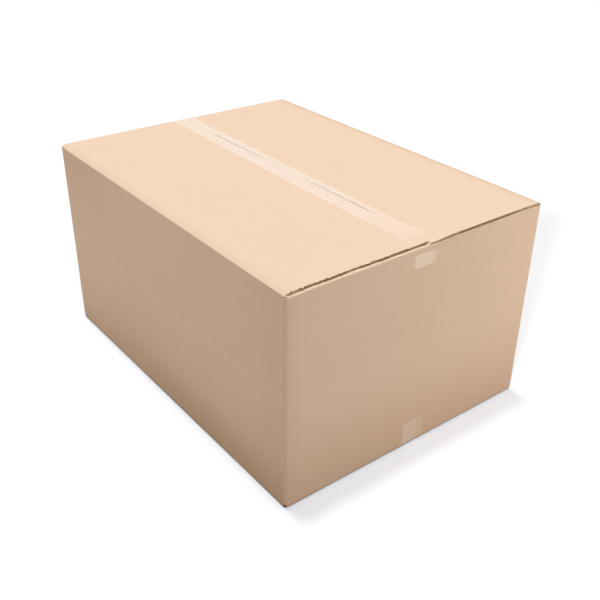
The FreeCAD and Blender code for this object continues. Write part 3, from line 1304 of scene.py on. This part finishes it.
@dataclass
class Tape:
    """A strip of clear tape along a seam, with a tail on each end panel."""

    side: Side
    film: ClearFilm
    tail: float
    wander: tuple[Pair, ...]
    width: float = 48 * MM
    landing: float = 5.3 * MM
    turn: float = 1.6 * MM
    lift: float = 0.03 * MM
    far_lift: float = 0.3 * MM
    thick: float = 0.05 * MM
    steps: int = 30

    def build(self, carton: Carton) -> bpy.types.Object:
        """Lays the strip over the carton.

        Args:
            carton: what the tape is stuck to.

        Returns:
            The finished piece.
        """
        way = self.side.value
        level = carton.levels[way]
        face_x = carton.half_length + self.lift
        over_x = carton.tab_flap_x + self.lift
        flat = level + way * self.lift
        bridge = [
            (face_x, level - way * self.tail),
            (face_x, level - way * self.landing),
            (face_x - self.turn, level - way * (self.landing - self.turn)),
            (over_x, flat),
        ]
        path = [(-x, z) for x, z in bridge]
        path += [(-over_x + i * 2 * over_x / self.steps, flat) for i in range(1, self.steps)]
        path += bridge[::-1]
        bpy.ops.object.select_all(action="DESELECT")
        bpy.ops.mesh.primitive_plane_add(size=1)
        piece = bpy.context.object
        piece.name = f"tape_{self.side.name.lower()}"
        piece.data.materials.append(self.film.make())
        with Shaper(piece) as shaper:
            self._lay(shaper, path)
            if self.side is Side.TOP:
                self._follow(shaper, carton, over_x)
        apply(piece, "SOLIDIFY", thickness=self.thick, offset=1.0, use_even_offset=True, use_rim=True)
        piece.visible_shadow = False
        return piece

    def _follow(self, shaper: Shaper, carton: Carton, over_x: float) -> None:
        """Lets the strip sink on to the far flap, which lies a little lower than the near one.

        Args:
            shaper: the open strip.
            carton: what the tape is stuck to.
            over_x: where it leaves the flaps.
        """
        for y in (-carton.grid / 2, 0, carton.seam_offset - MM, carton.seam_offset + MM, carton.grid):
            shaper.cut((0, y, 0), (0, 1, 0))
        for x in (over_x - carton.border, over_x - carton.grid / 2):
            shaper.cut((x, 0, 0), (1, 0, 0))
        lie = carton.long_flaps[1].lie - carton.long_flaps[0].lie
        shaper.pick(Part.VERT, lambda vert: abs(vert.co.x) < over_x + CLOSE and vert.co.y > carton.seam_offset)
        shaper.move(z=self.far_lift - lie)
        for dent in carton.dents:
            if dent.side:
                dent.press(shaper)

    def _lay(self, shaper: Shaper, path: list[Pair]) -> None:
        """Turns the flat start into the strip's first stretch and extrudes the rest along the path.

        Args:
            shaper: the open strip.
            path: the strip's places from the rear to the front, as x and z.
        """
        (x0, z0), (x1, z1) = path[0], path[1]
        shaper.pick(Part.VERT, lambda vert: vert.co.x < 0)
        bpy.ops.transform.resize(value=(0, self.width, 1), center_override=(x0, 0, 0))
        shaper.move(y=self._middle(x0), z=z0)
        shaper.pick(Part.VERT, lambda vert: vert.co.x > 0)
        bpy.ops.transform.resize(value=(0, self.width, 1), center_override=(x1, 0, 0))
        shaper.move(y=self._middle(x1), z=z1)
        for (xa, za), (xb, zb) in zip(path[1:], path[2:]):
            shaper.pick(Part.EDGE, lambda edge: all(same(p.x, xa, 1e-6) and same(p.z, za, 1e-6) for p in ends(edge)))
            shaper.extrude(x=xb - xa, y=self._middle(xb) - self._middle(xa), z=zb - za)

    def _middle(self, x: float) -> float:
        """Gives the strip's middle across the width, which wanders a little from rear to front.

        Args:
            x: the place along the carton.

        Returns:
            The middle, as y.
        """
        for (x0, y0), (x1, y1) in zip(self.wander, self.wander[1:]):
            if x <= x1:
                return y0 + (y1 - y0) * max(x - x0, 0.0) / (x1 - x0)
        return self.wander[-1][1]


# The studio


def direction(azimuth: float, elevation: float) -> Vector:
    """Gives the way to a point of the sky.

    Args:
        azimuth: from -Y towards +X, in degrees.
        elevation: above the floor, in degrees.

    Returns:
        The way, one metre long.
    """
    turn, rise = math.radians(azimuth), math.radians(elevation)
    return Vector((math.sin(turn) * math.cos(rise), -math.cos(turn) * math.cos(rise), math.sin(rise)))


def add_lamp(name: str, kind: str, energy: float, away: Vector) -> bpy.types.Object:
    """Adds a lamp.

    Args:
        name: its name.
        kind: its type.
        energy: its strength, in the lamp's own units.
        away: the way from what it lights to the lamp.

    Returns:
        The object that holds it.
    """
    lamp = bpy.data.lights.new(name, kind)
    lamp.energy = energy
    holder = bpy.data.objects.new(name, lamp)
    bpy.context.scene.collection.objects.link(holder)
    holder.rotation_euler = away.to_track_quat("Z", "Y").to_euler()
    return holder


@dataclass(frozen=True)
class Viewpoint:
    """Where the camera stands, worked out from the box's corners in the 600 by 600 pixel photograph."""

    azimuth: float = 52.106
    elevation: float = 30.151
    roll: float = 0.728
    distance: float = 1.73765
    aside: float = 0.03375
    above: float = 0.10509
    lens: float = 49.597

    def set_up(self) -> None:
        """Adds the camera and makes it the scene's."""
        azimuth, roll = math.radians(self.azimuth), math.radians(self.roll)
        back = direction(self.azimuth, self.elevation)
        right = Vector((math.cos(azimuth), math.sin(azimuth), 0.0))
        up = back.cross(right)
        right, up = right * math.cos(roll) + up * math.sin(roll), up * math.cos(roll) - right * math.sin(roll)
        camera = bpy.data.objects.new("camera", bpy.data.cameras.new("camera"))
        bpy.context.scene.collection.objects.link(camera)
        camera.data.lens = self.lens
        camera.data.clip_end = 100
        camera.matrix_world = Matrix.Translation(
            back * self.distance + right * self.aside + up * self.above
        ) @ Matrix((right, up, back)).transposed().to_4x4()
        bpy.context.scene.camera = camera


@dataclass(frozen=True)
class Softbox:
    """A square lamp near the object, so that its light fades along each face."""

    name: str
    place: Place
    aim: Place
    size: float
    level: float

    def set_up(self) -> None:
        """Adds the lamp. Its level is how bright it makes a white surface that faces it at the aim."""
        away = Vector(self.place) - Vector(self.aim)
        holder = add_lamp(self.name, "AREA", self.level * math.pi ** 2 * away.length_squared, away)
        holder.location = self.place
        holder.data.size = self.size


@dataclass(frozen=True)
class Sun:
    """A lamp that lights evenly. Its level is how bright it makes a white surface that faces it, where 1 is white."""

    name: str
    azimuth: float
    elevation: float
    level: float
    blur: float

    def set_up(self) -> None:
        """Adds the lamp. Its blur is how wide it looks, in degrees."""
        holder = add_lamp(self.name, "SUN", self.level * math.pi, direction(self.azimuth, self.elevation))
        holder.data.angle = math.radians(self.blur)


@dataclass(frozen=True)
class Studio:
    """Plain soft light on a white floor."""

    ambient: float = 0.15
    suns: tuple[Sun, ...] = (
        Sun("overhead", -90.0, 83.0, 0.35, 6.0),
        Sun("veil", 0.0, 90.0, 0.19, 110.0),
        Sun("key", 30.0, 24.0, 0.40, 4.0),
        Sun("right", 67.0, 62.0, 0.395, 5.0),
    )
    softboxes: tuple[Softbox, ...] = (
        Softbox("right_box", (1.15, 1.00, 0.40), (0.375, 0.15, 0.20), 0.6, 0.35),
    )
    floor_size: float = 40.0

    def set_up(self) -> None:
        """Adds the floor, the world and the lamps."""
        self._floor()
        self._world()
        for lamp in (*self.suns, *self.softboxes):
            lamp.set_up()
        bpy.context.scene.view_settings.view_transform = "Standard"

    def _floor(self) -> None:
        """Lays the floor at the height that the carton stands on."""
        bpy.ops.object.select_all(action="DESELECT")
        bpy.ops.mesh.primitive_plane_add(size=self.floor_size, location=(0, 0, 0))
        floor = bpy.context.object
        floor.name = "floor"
        floor.data.materials.append(StudioPaper("studio_paper").make())

    def _world(self) -> None:
        """Lights the object softly from all round and shows white to the lens."""
        world = bpy.data.worlds.new("studio")
        bpy.context.scene.world = world
        world.use_nodes = True
        world.node_tree.nodes.clear()
        bench = WorldBench(world)
        strength = lens_rays(bench) * (1 - self.ambient) + self.ambient
        bench.show(bench.node("ShaderNodeBackground", {}, {"Color": colour(1, 1, 1), "Strength": strength}))


def dress(piece: bpy.types.Object, node: str) -> None:
    """Ties a finished piece to the frame and reports it.

    Args:
        piece: the finished piece.
        node: the CAD node that it replaces.
    """
    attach(piece, "root")
    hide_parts(node)
    LOG.info("%s: %d faces for %s", piece.name, len(piece.data.polygons), node)


def main() -> None:
    """Builds the studio, the carton and its tapes."""
    logging.basicConfig(level=logging.INFO, format="%(name)s %(message)s")
    Viewpoint().set_up()
    Studio().set_up()
    carton = Carton()
    dress(carton.build(), "carton")
    top_film = ClearFilm("film_top")
    dress(Tape(Side.TOP, top_film, 39.5 * MM, TOP_WANDER).build(carton), "top_tape")
    bottom_film = ClearFilm("film_bottom", haze=0.27, tail_tint=colour(0.90, 0.88, 0.84))
    dress(Tape(Side.BOTTOM, bottom_film, 50 * MM, BOTTOM_WANDER).build(carton), "bottom_tape")


if __name__ == "__main__":
    main()
